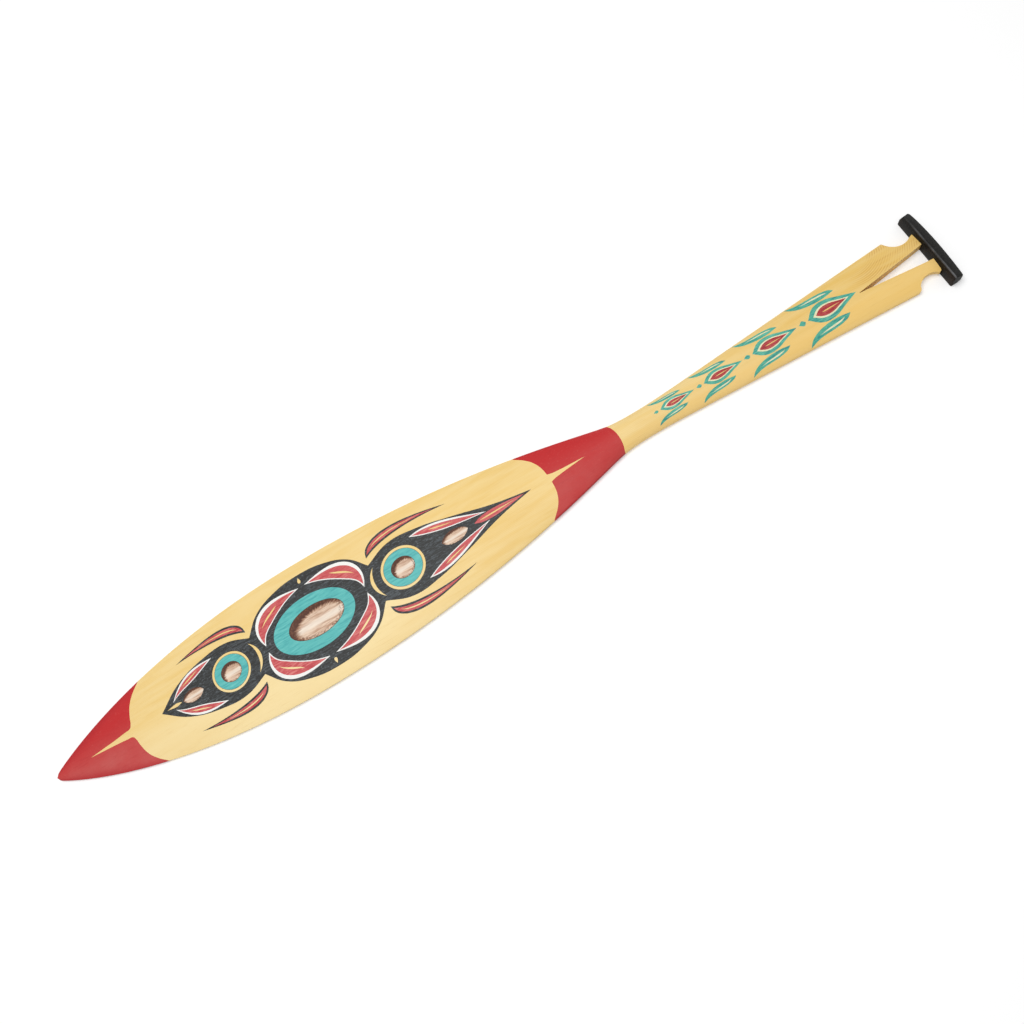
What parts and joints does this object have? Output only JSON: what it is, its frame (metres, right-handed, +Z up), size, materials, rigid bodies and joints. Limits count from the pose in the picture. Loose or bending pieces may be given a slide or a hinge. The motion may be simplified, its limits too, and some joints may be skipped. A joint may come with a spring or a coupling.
{
  "type": "carved paddle",
  "caption": "Long wooden canoe paddle with a slender leaf-shaped blade, a flaring shaft and a forked head closed by a cross grip.",
  "frame": {"origin": "under the middle of the whole paddle, on the plane of its flat back", "axes": "+X runs along the paddle from the blade's tip to the cross grip, +Y across it to the left prong, +Z up out of the crowned face"},
  "size_m": [1.5262, 0.195, 0.025],
  "materials": {
    "cedar": "pale yellow cedar, planed and oiled, satin",
    "red_paint": "brushed red paint on wood, satin",
    "black_paint": "black paint on wood, satin, rubbed at the edges",
    "teal_paint": "brushed teal paint on wood, satin",
    "white_paint": "thin white paint on wood, satin",
    "scorched_wood": "gouged wood scorched dark brown at its rim, matt",
    "dowel_wood": "turned hardwood, plain"
  },
  "bodies": {
    "root": {"paddle_body": "cedar", "cross_grip": "black_paint", "grip_dowel_left": "dowel_wood", "grip_dowel_right": "dowel_wood"}
  },
  "joints": []
}
